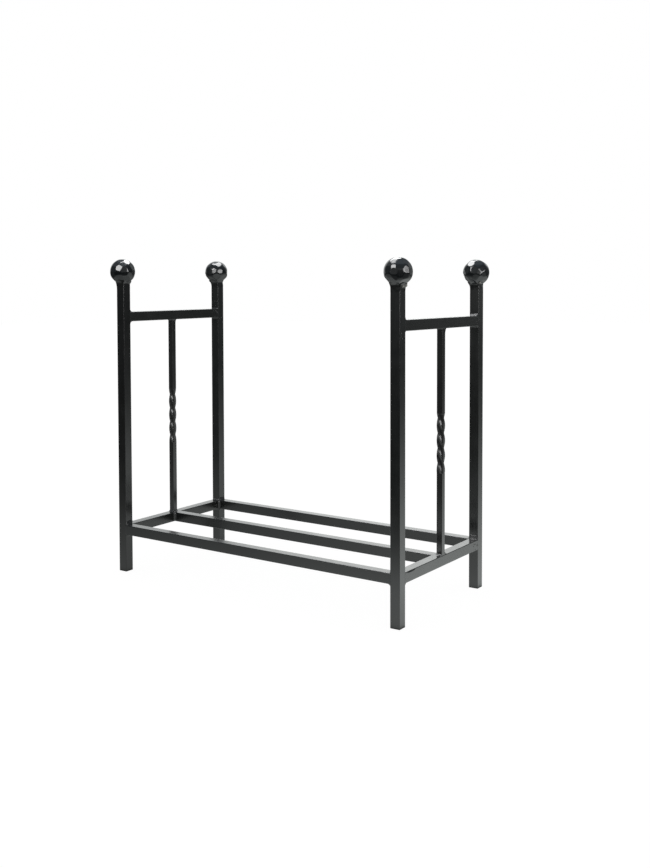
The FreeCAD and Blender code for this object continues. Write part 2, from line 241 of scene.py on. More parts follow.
# ---------------------------------------------------------------- mesh helpers
def piece(name, bm, material, replaced, sharp=40.0):
    """Turns a bmesh in millimetres into a piece on the frame."""
    bmesh.ops.remove_doubles(bm, verts=bm.verts, dist=1e-4)
    bmesh.ops.recalc_face_normals(bm, faces=bm.faces)
    bmesh.ops.scale(bm, vec=(MM, MM, MM), verts=bm.verts)
    mesh = bpy.data.meshes.new(name)
    bm.to_mesh(mesh)
    bm.free()
    mesh.polygons.foreach_set("use_smooth", [True] * len(mesh.polygons))
    mesh.set_sharp_from_angle(angle=math.radians(sharp))
    mesh.materials.append(material)
    obj = bpy.data.objects.new(name, mesh)
    scene.collection.objects.link(obj)
    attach(obj, "root")
    if replaced:
        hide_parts(replaced)
    return obj


def skin(bm, rings):
    """A closed skin through rings of equally many points."""
    loops = [[bm.verts.new(p) for p in ring] for ring in rings]
    count = len(loops[0])
    for low, high in zip(loops, loops[1:]):
        for i in range(count):
            j = (i + 1) % count
            bm.faces.new((low[i], low[j], high[j], high[i]))
    for loop in (loops[0], loops[-1]):
        middle = bm.verts.new(sum((v.co for v in loop), Vector()) / count)
        for i in range(count):
            bm.faces.new((loop[i], loop[(i + 1) % count], middle))


def wander(seed, waves=4):
    """A smooth seeded curve of about +-1 over 0..1."""
    rng = random.Random(seed)
    terms = [(rng.uniform(1.5, 9.0), rng.uniform(0, 6.283), rng.uniform(0.3, 1.0)) for _ in range(waves)]
    total = sum(t[2] for t in terms)
    return lambda t: sum(a * math.sin(f * t + p) for f, p, a in terms) / total


SINK = 0.3  # how far a weld reaches into the bars it joins


def fillet(
    bm, at, u, v, leg_u, leg_v, hollow, length, seed, ripple=0.10, ends=0.16, least=0.12, climb=0.0, sway=0.10
):
    """A fillet weld in an inner corner: leg_u along u on one bar, leg_v along v
    on the other, its run along u x v. hollow 1 is a full concave cove, 0 a flat
    bead, and below 0 a rounded one. The run thins out to least of its size over
    ends of its length, climb makes it larger at its start than at its end, and
    sway is how much its legs vary on the way."""
    u, v, at = Vector(u), Vector(v), Vector(at)
    w = u.cross(v)
    grow, slide = wander(seed), wander(seed + 77)
    phase = random.Random(seed + 5).uniform(0, 6.283)
    steps, curve = 30, 10
    rings = []
    for i in range(steps + 1):
        t = i / steps
        end = min(t, 1 - t) / ends
        full = 1.0 if end >= 1 else math.sqrt(max(0.0, 1 - (1 - end) ** 2))
        full = (least + (1 - least) * full) * (1 + climb * (0.5 - t))
        a = leg_u * full * (1 + sway * grow(t))
        b = leg_v * full * (1 + sway * slide(t))
        sink = SINK * (0.5 + 0.5 * full) + 0.25 * (1 - full)
        base = at + w * ((t - 0.5) * length)
        ring = [base - u * sink - v * sink, base + u * (a + 0.25) - v * sink]
        for k in range(curve + 1):
            s = k / curve
            angle = s * math.pi / 2
            cove = (a * (1 - math.sin(angle)), b * (1 - math.cos(angle)))
            flat = (a * (1 - s), b * s)
            p = hollow * cove[0] + (1 - hollow) * flat[0]
            q = hollow * cove[1] + (1 - hollow) * flat[1]
            # crescents left by the weave of the weld
            wave = math.cos(2 * math.pi * (t * length / 2.3) + 2.4 * (s - 0.5) ** 2 * 4 + phase)
            lift = ripple * full * math.sin(math.pi * s) * wave
            ring.append(base + u * (p + lift * 0.7) + v * (q + lift * 0.7))
        ring.append(base - u * sink + v * (b + 0.25))
        rings.append(ring)
    skin(bm, rings)


def seam(bm, at, out, across, along, length, seed, wide=(2.1, 1.2)):
    """A dressed butt weld, flush with two bars: it fills the groove where the end
    of one bar meets the rounded edge of the other. out points off the faces,
    across points from the cut end towards the rounded bar, along is its run."""
    at, out, across, along = Vector(at), Vector(out), Vector(across), Vector(along)
    rise = wander(seed)
    steps = 24
    rings = []
    for i in range(steps + 1):
        t = i / steps
        end = min(t, 1 - t) / 0.12
        full = 1.0 if end >= 1 else math.sqrt(max(0.0, 1 - (1 - end) ** 2))
        drop = 0.42 * (1 - full)
        base = at + along * ((t - 0.5) * length)
        crest = 0.05 + 0.02 * rise(t)
        ring = []
        for x, h in (
            (wide[0], -0.10),
            (wide[0] * 0.72, -0.005),
            (wide[0] * 0.4, crest * 0.8),
            (0.0, crest),
            (-wide[1] * 0.45, crest * 0.7),
            (-wide[1] * 0.8, -0.005),
            (-wide[1], -0.10),
            (-wide[1] * 0.5, -1.0),
            (0.2, -1.7),
            (wide[0] * 0.6, -0.9),
        ):
            ring.append(base + across * x + out * (h - drop))
        rings.append(ring)
    skin(bm, rings)


def spatter(bm, at, out, u, v, reach, count, seed, size=(0.5, 1.2)):
    """Drops of weld metal on a face: low domes, some over others."""
    at, out, u, v = Vector(at), Vector(out), Vector(u), Vector(v)
    rng = random.Random(seed)
    sides = 12
    for _ in range(count):
        middle = at + u * rng.uniform(-reach[0], reach[0]) + v * rng.uniform(-reach[1], reach[1])
        r = rng.uniform(*size)
        tall = r * rng.uniform(0.40, 0.70)
        squeeze, turn = rng.uniform(0.7, 1.0), rng.uniform(0, 3.14)
        rings = []
        for wide, high in ((0.96, -0.25), (1.0, 0.0), (0.88, 0.42), (0.66, 0.74), (0.36, 0.94)):
            ring = []
            for i in range(sides):
                a = 2 * math.pi * i / sides
                p, q = r * wide * math.cos(a), r * wide * squeeze * math.sin(a)
                p, q = p * math.cos(turn) - q * math.sin(turn), p * math.sin(turn) + q * math.cos(turn)
                ring.append(middle + u * p + v * q + out * (tall * high if high > 0 else high))
            rings.append(ring)
        skin(bm, rings)


# --------------------------------------------------------------------- finials
# Flats left by the hammer: degrees round the ball from +x, degrees up from level,
# and the flat's distance from the centre. The lowest ones were worked down
# towards the neck.
FLATS = {
    "front_left": (
        (-12.1, 54.2, 20.16), (-60.7, 18.3, 19.89), (-39.7, 6.0, 19.88), (-90.0, 36.8, 19.85),
        (-153.2, 51.6, 20.85), (63.7, 23.0, 20.12), (-51.6, -27.4, 20.13), (-76.9, 46.6, 20.01),
        (-37.4, -12.3, 19.86), (-151.5, 2.6, 20.80), (-96.7, 13.5, 19.85), (-8.7, 11.2, 20.45),
        (-52.6, -13.2, 20.50), (-68.0, -23.8, 20.78), (-68.0, -8.1, 20.28), (75.4, 66.7, 19.98),
        (-62.4, 62.7, 19.85), (15.3, 23.4, 19.89), (24.5, -5.7, 19.95), (-83.2, 8.7, 20.80), (-8.6, -15.6, 20.51),
        (-35.3, -28.4, 20.04), (-163.2, 71.8, 20.88), (-104.3, -12.3, 19.85), (-44.9, 39.7, 20.01),
        (37.9, -17.1, 20.90), (91.3, -39.6, 19.06), (72.4, -44.1, 18.96), (120.1, -38.9, 18.83),
        (140.5, -37.0, 19.14), (-178.3, -45.5, 18.71), (-157.3, -44.4, 18.89), (-74.9, -50.0, 18.67),
        (-33.5, -44.8, 18.88), (-62.0, -38.9, 18.85),
    ),
    "front_right": (
        (-85.8, 45.2, 20.13), (-78.4, 21.2, 20.49), (-36.5, 85.4, 20.90), (-22.0, 7.1, 20.00), (-49.6, 70.6, 20.84),
        (-77.9, -23.7, 20.22), (7.9, 0.2, 19.97), (-15.5, 47.9, 19.85), (-166.7, -3.6, 20.69),
        (-137.8, -8.7, 20.16), (-92.7, 18.4, 20.60), (-25.8, -15.5, 20.01), (-50.7, 40.6, 19.95),
        (-45.7, -28.2, 20.88), (-50.8, 22.6, 19.99), (-104.2, -24.3, 19.86), (-133.1, 39.0, 20.72),
        (-77.4, 2.1, 19.90), (47.0, -22.9, 20.10), (-103.9, 30.5, 20.30), (5.4, 23.5, 20.09), (-104.5, 11.3, 19.92),
        (-50.0, -2.9, 19.85), (42.4, -3.5, 20.51), (119.0, -37.0, 18.72), (136.0, -47.9, 19.16),
        (89.2, -45.5, 18.86), (-177.9, -50.0, 19.06), (-170.9, -37.0, 18.72), (-125.1, -37.1, 19.16),
        (-102.2, -41.6, 19.18), (-15.3, -50.0, 19.30), (48.3, -47.6, 19.26),
    ),
    "back_left": (
        (-36.6, 43.7, 20.26), (-78.2, 28.1, 19.85), (-63.5, 8.1, 20.09), (-29.5, 5.7, 20.58), (-77.6, -23.8, 20.67),
        (48.1, 1.2, 19.85), (19.9, 72.2, 20.66), (-126.6, 53.9, 20.36), (-40.8, 77.9, 19.98), (-150.9, 42.8, 20.38),
        (27.3, -3.5, 20.53), (-121.4, 70.7, 20.19), (-133.1, 11.2, 20.90), (-99.5, 14.0, 19.95),
        (-71.8, 43.7, 20.30), (-51.4, -23.8, 19.92), (-62.8, 63.9, 19.85), (4.3, -14.5, 20.55), (19.2, 38.4, 20.24),
        (-85.4, 6.4, 19.85), (-127.8, -16.4, 19.87), (-55.4, 26.7, 20.26), (-99.6, 38.9, 20.24),
        (17.0, -50.0, 18.68), (67.0, -37.0, 19.07), (135.0, -44.3, 18.76), (114.2, -39.4, 19.01),
        (159.6, -43.2, 18.90), (-144.9, -41.9, 19.13), (-91.3, -50.0, 18.50), (-11.4, -50.0, 18.99),
        (5.4, -38.3, 18.62),
    ),
    "back_right": (
        (-97.7, 42.4, 20.11), (-109.2, 12.1, 19.85), (-68.3, 11.5, 19.88), (38.3, -14.7, 20.12),
        (-161.4, 28.2, 20.07), (27.7, 59.2, 19.95), (-131.6, 41.9, 20.88), (-3.7, -3.2, 19.94),
        (-132.0, -4.5, 20.23), (-19.5, 74.5, 20.33), (-28.0, 58.2, 20.56), (-37.9, 17.5, 19.99), (35.2, 0.6, 20.80),
        (-79.1, 69.3, 20.45), (79.7, 83.2, 20.77), (-63.0, -22.3, 19.93), (-5.2, 19.4, 20.90),
        (-154.3, 47.2, 19.85), (-135.6, 74.2, 20.66), (-23.2, -12.7, 19.94), (-53.7, 6.8, 20.03),
        (-49.8, 31.3, 19.97), (-50.6, 45.3, 19.92), (-149.5, -21.3, 19.88), (12.3, 37.4, 20.27),
        (68.5, -42.8, 19.19), (97.9, -49.3, 19.30), (86.4, -37.0, 18.56), (120.0, -49.8, 19.09),
        (140.3, -45.0, 18.80), (-128.9, -37.0, 19.24), (-33.3, -37.0, 19.28), (-10.0, -50.0, 19.19),
        (-16.1, -37.0, 19.24),
    ),
}
SPACING = 25.0
# How far each ball sits off the middle of its post and the common height.
SET = {
    "front_left": Vector((-0.9, -0.6, 1.9)),
    "front_right": Vector((0.3, 0.2, 1.2)),
    "back_left": Vector((-1.2, -0.9, -0.1)),
    "back_right": Vector((-0.6, -0.4, -0.5)),
}


def on_ball(turn, rise):
    a, e = math.radians(turn), math.radians(rise)
    return Vector((math.cos(a) * math.cos(e), math.sin(a) * math.cos(e), math.sin(e)))


def hammer_flats(corner, seed):
    """Unit normals and distances of the flats all over one ball: the listed ones,
    then more where the list leaves the back of the ball bare."""
    rng = random.Random(seed)
    normals = [on_ball(turn, rise) for turn, rise, _ in FLATS[corner]]
    depths = [far for _, _, far in FLATS[corner]]
    fixed = len(normals)

    def gap(p, others):
        return math.degrees(min(math.acos(max(-1.0, min(1.0, p.dot(n)))) for n in others))

    # close the ring towards the neck
    for turn in range(0, 360, 10):
        n = on_ball(turn, -44 + rng.uniform(-2, 2))
        if n.dot(BEHIND) > 0.2 and gap(n, [m for m in normals if m.z < -0.55]) > 26:
            normals.append(n)
            depths.append(18.9 + rng.uniform(-0.2, 0.2))
    ring = len(normals)
    # the rest, spread as evenly as blows of one hammer
    pool = []
    while len(pool) < 1500:
        z = rng.uniform(-0.42, 1.0)
        a = rng.uniform(0, 2 * math.pi)
        r = math.sqrt(1 - z * z)
        p = Vector((r * math.cos(a), r * math.sin(a), z))
        if p.dot(BEHIND) > 0.24:
            pool.append(p)
    while pool:
        best = max(pool, key=lambda p: gap(p, normals))
        if gap(best, normals) < SPACING * 0.86:
            break
        normals.append(best)
        depths.append(20.35 + rng.uniform(-0.18, 0.15))
        pool = [p for p in pool if p.dot(best) < math.cos(math.radians(12))]
    for _ in range(12):  # even out the free ones
        for i in range(ring, len(normals)):
            push = Vector()
            for j, n in enumerate(normals):
                if i != j:
                    apart = normals[i] - n
                    if apart.length < 0.5:
                        push += apart.normalized() * (0.5 - apart.length)
            moved = (normals[i] + push * 0.12).normalized()
            if moved.dot(BEHIND) > 0.24:
                normals[i] = moved
    return normals, depths


def finial(corner, seed):
    sx, sy = CORNERS[corner]
    centre = Vector((sx * POST_X, sy * POST_Y, BALL_Z)) + SET[corner]
    normals, depths = hammer_flats(corner, seed)
    bm = bmesh.new()
    bmesh.ops.create_icosphere(bm, subdivisions=6, radius=1.0)
    bm.verts.ensure_lookup_table()
    where = np.array([v.co for v in bm.verts], float)
    where /= np.linalg.norm(where, axis=1)[:, None]
    planes = np.array([list(n) for n in normals], float) / np.array(depths, float)[:, None]
    extra = np.array([[0, 0, 1 / 20.36]])
    facing = np.clip(where @ np.vstack([planes, extra]).T, 0, None)
    power = 130.0
    round_ball = 1 / 20.95
    peak = np.maximum(facing.max(axis=1), round_ball)
    total = ((facing / peak[:, None]) ** power).sum(axis=1) + (round_ball / peak) ** power
    radius = 1.0 / (peak * total ** (1 / power))
    # a flat is never quite true
    rng = np.random.default_rng(seed)
    for _ in range(7):
        k = rng.normal(size=3)
        k *= rng.uniform(4.0, 8.0) / np.linalg.norm(k)
        radius += 0.012 * np.sin(where @ k * 1.6 + rng.uniform(0, 6.283))
    points = where * radius[:, None]
    for vert, p in zip(bm.verts, points):
        vert.co = Vector(p) + centre
    return piece("hammered_ball_" + corner, bm, ball_paint, "finial_" + corner, sharp=60)


for index, corner in enumerate(CORNERS):
    finial(corner, 40 + index)


# ----------------------------------------------------------------------- necks
def rounded_square_point(half, corner, angle):
    """Where a ray at this angle leaves a rounded square."""
    c, s = abs(math.cos(angle)), abs(math.sin(angle))
    flat = half / max(c, s)
    k = half - corner
    if min(c, s) * flat <= k:
        return flat
    b = k * (c + s)
    return b + math.sqrt(max(0.0, b * b - (2 * k * k - corner * corner)))


NECK = (  # height, half width, corner radius
    (476.0, 7.80, 0.9),
    (478.0, 7.97, 0.9),
    (480.0, 8.03, 1.0),
    (482.0, 8.09, 1.1),
    (484.0, 8.20, 1.3),
    (486.0, 8.38, 1.6),
    (487.4, 8.62, 2.0),
    (488.6, 9.10, 3.0),
    (489.6, 9.85, 4.8),
    (490.6, 10.80, 7.2),
    (491.6, 11.75, 9.8),
    (492.6, 12.50, 11.8),
    (493.6, 12.70, 12.5),
    (494.6, 11.80, 11.7),
    (495.6, 9.20, 9.1),
    (496.4, 6.00, 5.9),
)
# Drops of weld metal left on a neck: degrees round it, height, half spans in
# degrees and millimetres, and how far it stands out.
DROPS = {
    "front_left": (
        (0, 490.8, 12, 1.2, 1.2),
        (24, 491.2, 10, 1.1, 1.0),
        (46, 489.2, 18, 2.0, 2.0),
        (46, 491.2, 16, 1.3, 1.1),
        (-34, 489.0, 12, 1.6, 0.5),
    ),
    "front_right": (
        (10, 489.0, 22, 2.3, 2.2),
        (-8, 487.0, 7, 0.9, 0.5),
        (17, 486.5, 7, 0.9, 0.5),
        (-22, 490.5, 8, 1.0, 0.7),
        (207, 489.8, 26, 3.2, 1.0),
    ),
    "back_left": ((150, 488.5, 14, 1.8, 0.6), (213, 491.0, 24, 2.8, 1.4), (35, 491.5, 20, 2.0, 0.8)),
    "back_right": ((-4, 490.6, 20, 0.9, 1.0), (100, 488.0, 14, 2.0, 0.6), (208, 490.0, 28, 4.5, 1.1)),
}


def lean(corner, z):
    """How far the neck has gone over to its ball at this height."""
    t = max(0.0, min(1.0, (z - 482.0) / 9.0))
    return SET[corner] * (t * t * (3 - 2 * t))


def neck(corner, seed):
    sx, sy = CORNERS[corner]
    rng = random.Random(seed)
    lumps = [
        (rng.randint(2, 6), rng.uniform(0, 6.283), rng.uniform(0.2, 0.7), rng.uniform(0, 6.283), rng.uniform(0.5, 1.0))
        for _ in range(7)
    ]
    count, fine = 96, 4
    heights = []
    for (z0, h0, c0), (z1, h1, c1) in zip(NECK, NECK[1:]):
        for k in range(fine):
            t = k / fine
            heights.append((z0 + (z1 - z0) * t, h0 + (h1 - h0) * t, c0 + (c1 - c0) * t))
    heights.append(NECK[-1])
    bm = bmesh.new()
    rings = []
    for z, half, corner_radius in heights:
        # smooth at the post, lumpy where the weld metal was laid
        weight = max(0.0, min(1.0, (z - 479.0) / 4.0)) * max(0.0, min(1.0, (496.0 - z) / 2.0))
        ring = []
        for i in range(count):
            angle = 2 * math.pi * i / count
            r = rounded_square_point(half, min(corner_radius, half - 0.02), angle)
            lump = sum(
                a * math.sin(n * angle + p) * math.cos(f * (z - 480) + q) for n, p, f, q, a in lumps
            ) / 3.5
            r += 0.28 * weight * lump
            for turn, height, wide, tall, out in DROPS[corner]:
                off = (math.degrees(angle) - turn + 180) % 360 - 180
                r += out * math.exp(-((off / wide) ** 2) - ((z - height) / tall) ** 2)
            p = Vector((sx * POST_X + r * math.cos(angle), sy * POST_Y + r * math.sin(angle), z))
            ring.append(p + lean(corner, z))
        rings.append(ring)
    skin(bm, rings)
    return piece("neck_" + corner, bm, neck_paint, "neck_weld_" + corner, sharp=60)


for index, corner in enumerate(CORNERS):
    neck(corner, 60 + index)

# Lumps of weld under three of the balls, in the pale beige-grey paint: middle, the
# way they face, half spans, how many drops and their sizes.
PALE_LUMPS = {
    "front_right": ((278.4, -120.3, 488.9), (1.0, 0.0, -0.25), (5.8, 3.0), 20, (1.2, 2.2)),
    "front_left": ((-258.9, -116.4, 491.0), (1.0, 0.0, -0.4), (2.6, 0.9), 6, (0.6, 1.1)),
    "back_right": ((279.4, 118.6, 491.1), (1.0, 0.0, -0.4), (4.5, 0.9), 13, (0.9, 1.5)),
}
for index, (corner, (at, out, reach, count, size)) in enumerate(PALE_LUMPS.items()):
    bm = bmesh.new()
    out = Vector(out).normalized()
    across = Vector((0, 1, 0))
    at = Vector(at) + lean(corner, at[2])
    spatter(bm, at, out, across, out.cross(across), reach, count, 700 + index, size)
    piece("pale_lump_" + corner, bm, pale_weld_paint, None, sharp=60)

# ----------------------------------------------------------------------- welds
UP, DOWN = Vector((0, 0, 1)), Vector((0, 0, -1))
RUN = 14.6
DRESSED = {"length": 15.2, "ends": 0.05, "least": 0.7, "ripple": 0.03}  # ground flush with the faces
# Legs of the corner welds that differ: along the bar, up or down the post, hollow.
LEGS = {
    ("front_right", "long_under"): (8.0, 6.6, 1.0, {}),
    ("front_right", "end_under"): (4.2, 4.4, 0.9, DRESSED),
    ("front_right", "long_over"): (2.6, 2.6, 0.6, {}),
    ("front_left", "long_over"): (2.0, 7.0, 0.2, {"ripple": 0.06}),
    ("front_left", "end_over"): (2.2, 5.0, 0.2, {}),
    ("front_left", "long_under"): (4.2, 3.4, 0.8, {}),
    ("back_right", "end_over"): (1.9, 6.4, 0.15, {"ripple": 0.03}),
    ("back_right", "end_under"): (2.4, 2.4, 0.6, {}),
    ("back_left", "long_over"): (2.0, 5.0, 0.3, {"ripple": 0.14}),
    ("back_left", "end_over"): (2.0, 4.4, 0.3, {"ripple": 0.14}),
}
TOP_LEGS = {
    ("front_left", "over"): (6.0, 5.4, 0.95, DRESSED),
    ("front_left", "under"): (5.5, 5.2, 0.95, DRESSED),
    ("front_right", "over"): (3.8, 6.0, 0.9, DRESSED),
    ("front_right", "under"): (2.9, 2.7, 0.8, DRESSED),
    ("back_left", "over"): (1.6, 2.0, 0.8, {"ripple": 0.05}),
    ("back_right", "over"): (
        2.4, 3.1, 0.0, {"ripple": 0.0, "ends": 0.06, "least": 0.6, "climb": 0.5, "sway": 0.0}
    ),
    ("back_right", "under"): (3.0, 3.0, 0.4, {"ripple": 0.16}),
}
# Legs of the twisted bars' end welds that differ, by end, side and front or back:
# along the rail, along the bar, hollow.
BAR_LEGS = {
    ("high", "right", -1): (3.6, 1.8, 0.6),
    ("high", "right", 1): (4.2, 7.5, 0.95),
    ("high", "left", 1): (2.8, 5.0, 0.95),
    ("low", "right", -1): (2.4, 2.2, 0.5),
    ("low", "right", 1): (8.0, 5.4, 0.85),
}
# Spatter near the welds: middle of the patch and the way it faces, in x, y, z from
# the post's inner corner at the rail's mid height, half spans, and how many drops.
# The patch lies across y, or across x where it faces y.
SPATTER = {
    ("front_left", "low"): (("x", 0, -3, 14, 4, 5, 5),),
    ("back_left", "low"): (("x", 0, 5, 1, 9, 6, 10), ("y", 9, 0, 1, 8, 6, 9), ("x", 0, -4, 14, 4, 4, 4)),
    ("back_right", "low"): (("x", 16, 6, -1, 9, 5, 9),),
    ("front_right", "top"): (("x", 16, -8, -15, 5, 5, 6),),
    ("back_left", "top"): (("x", 0, 6, 0, 10, 6, 10), ("y", -6, 0, 15, 4, 7, 4), ("x", 0, -5, -10, 5, 3, 4)),
    ("back_right", "top"): (("x", 16, 6, 0, 10, 6, 10), ("y", 8, 0, -10, 6, 2, 4)),
}


def spatter_near(bm, corner, level, middle, seed):
    sx, sy = CORNERS[corner]
    for k, (way, dx, dy, dz, wide, tall, count) in enumerate(SPATTER.get((corner, level), ())):
        # dx is measured to the right from the post's face that looks to the middle or
        # away from it, whichever the patch is on; dy from the rail's end, inwards
        x = sx * (POST_X - HALF) + (dx if sx > 0 else 0)
        y = sy * (POST_Y - HALF) - sy * dy
        if way == "x":
            spatter(bm, (x, y, middle + dz), (1, 0, 0), (0, 1, 0), UP, (wide, tall), count, seed + k)
        else:
            x = sx * (POST_X - HALF) + dx
            spatter(bm, (x, sy * (POST_Y - HALF), middle + dz), (0, -1, 0), (1, 0, 0), UP, (wide, tall), count, seed + k)


for number, (corner, (sx, sy)) in enumerate(CORNERS.items()):
    ix, iy = Vector((-sx, 0, 0)), Vector((0, -sy, 0))
    ox, oy = -ix, -iy
    px, py = sx * POST_X, sy * POST_Y
    fx, fy = px - sx * HALF, py - sy * HALF  # the post's inner faces
    seed = 100 + 20 * number

    bm = bmesh.new()
    runs = {
        "long_over": ((fx, py, RAIL_HIGH), ix, UP),
        "long_under": ((fx, py, RAIL_LOW), ix, DOWN),
        "end_over": ((px, fy, RAIL_HIGH), iy, UP),
        "end_under": ((px, fy, RAIL_LOW), iy, DOWN),
    }
    for k, (run, (at, u, v)) in enumerate(runs.items()):
        leg_u, leg_v, hollow, more = LEGS.get((corner, run), (3.2, 3.0, 0.6, {}))
        fillet(bm, at, u, v, leg_u, leg_v, hollow, seed=seed + k, **{"length": RUN, **more})
    middle = (RAIL_LOW + RAIL_HIGH) / 2
    fillet(bm, (fx, fy, middle), ix, iy, 3.0, 3.0, 0.45, RUN, seed + 5)
    seam(bm, (fx, py + sy * HALF, middle), oy, ox, UP, 14.2, seed + 6)
    seam(bm, (px + sx * HALF, fy, middle), ox, oy, UP, 14.2, seed + 7)
    spatter_near(bm, corner, "low", middle, seed + 500)
    piece("corner_bead_" + corner, bm, weld_paint, "corner_weld_" + corner)

    bm = bmesh.new()
    rise = RISE[corner]
    for k, (run, z, v) in enumerate((("over", TOP_HIGH + rise, UP), ("under", TOP_LOW + rise, DOWN))):
        leg_u, leg_v, hollow, more = TOP_LEGS.get((corner, run), (3.0, 2.8, 0.6, {}))
        fillet(bm, (px, fy, z), iy, v, leg_u, leg_v, hollow, seed=seed + 9 + k, **{"length": RUN, **more})
    middle = (TOP_LOW + TOP_HIGH) / 2 + rise
    seam(bm, (px + sx * HALF, fy, middle), ox, oy, UP, 14.2, seed + 12)
    seam(bm, (px - sx * HALF, fy, middle), ix, oy, UP, 14.2, seed + 13)
    spatter_near(bm, corner, "top", middle, seed + 520)
    finish = weld_paint if corner == "back_left" else dressed_paint
    piece("top_bead_" + corner, bm, finish, "top_weld_" + corner)

# The grinder ran along the end rail's upper edge beside the front right post and
# left a slope that looks up.
bm = bmesh.new()
rings = []
steps, face = 28, POST_X + HALF
for i in range(steps + 1):
    t = i / steps
    full = math.sin(math.pi * t ** 0.75) ** 0.6 if 0 < t < 1 else 0.0
    y = -109.5 + 27.5 * t
    tall, out = 0.35 + 1.7 * full, 0.02 + 0.52 * full
    ring = [
        (face - 0.62, y, RAIL_HIGH - 0.02 + 0.03 * full),
        (face - 0.24, y, RAIL_HIGH - 0.20 + 0.03 * full),
        (face + 0.02 * full - 0.02, y, RAIL_HIGH - 0.55),
        (face + out * 0.55, y, RAIL_HIGH - 0.55 - tall * 0.5),
        (face + out, y, RAIL_HIGH - 0.55 - tall),
        (face + out * 0.4, y, RAIL_HIGH - 0.70 - tall),
        (face - 0.5, y, RAIL_HIGH - 0.75 - tall),
        (face - 1.2, y, RAIL_HIGH - 0.9),
    ]
    rings.append([Vector(p) for p in ring])
skin(bm, rings)
piece("ground_edge_front_right", bm, bar_y, None, sharp=60)

for number, (side, sx) in enumerate(SIDES.items()):
    ix = Vector((-sx, 0, 0))
    inner = sx * (POST_X - HALF)
    middle = (RAIL_LOW + RAIL_HIGH) / 2
    seed = 300 + 40 * number
    bm = bmesh.new()
    for k, sy in enumerate((-1, 1)):
        fillet(bm, (inner, sy * HALF, middle), ix, (0, sy, 0), 3.2, 3.2, 0.5, RUN, seed + k)
    seam(bm, (inner, 0, RAIL_HIGH), UP, -ix, (0, 1, 0), 14.2, seed + 3)
    seam(bm, (inner, 0, RAIL_LOW), DOWN, -ix, (0, 1, 0), 14.2, seed + 4)
    piece("centre_bead_" + side, bm, weld_paint, "centre_weld_" + side)

    bx = sx * BAR_X
    under = TOP_LOW + (RISE["front_" + side] + RISE["back_" + side]) / 2
    for end, z, v in (("low", RAIL_HIGH, UP), ("high", under, DOWN)):
        bm = bmesh.new()
        for k, sy in enumerate((-1, 1)):
            leg_u, leg_v, hollow = BAR_LEGS.get((end, side, sy), (2.6, 2.4, 0.6))
            at = (bx, sy * BAR_HALF, z)
            fillet(bm, at, (0, sy, 0), v, leg_u, leg_v, hollow, 9.1, seed + 10 + k, 0.03, 0.05, 0.85)
        fillet(bm, (bx - sx * BAR_HALF, 0, z), ix, v, 2.4, 2.2, 0.6, 8.4, seed + 13, 0.07)
        piece("bar_bead_%s_%s" % (end, side), bm, weld_paint, "bar_weld_%s_%s" % (end, side))
        seed += 20

# ----------------------------------------------------------------------- stage
def math_node(tree, operation, *values, clamp=False):
    made = add(tree, "ShaderNodeMath", operation=operation, use_clamp=clamp)
    for place, value in zip(made.inputs, values):
        if isinstance(value, (int, float)):
            place.default_value = value
        else:
            tree.links.new(value, place)
    return made.outputs["Value"]


# The pool of light on the floor as the paint mirrors it, in metres: middle and
# reach in x and y, then where it starts to fall off in front and towards the
# camera, and how fast.
POOL_AT = ((0.40, 1.0), (0.05, 1.0))
POOL_FRONT = (0.34, 0.33)
POOL_NEAR = (0.45, 0.15)
POOL_PEAK, POOL_FAR = 1.75, 0.08


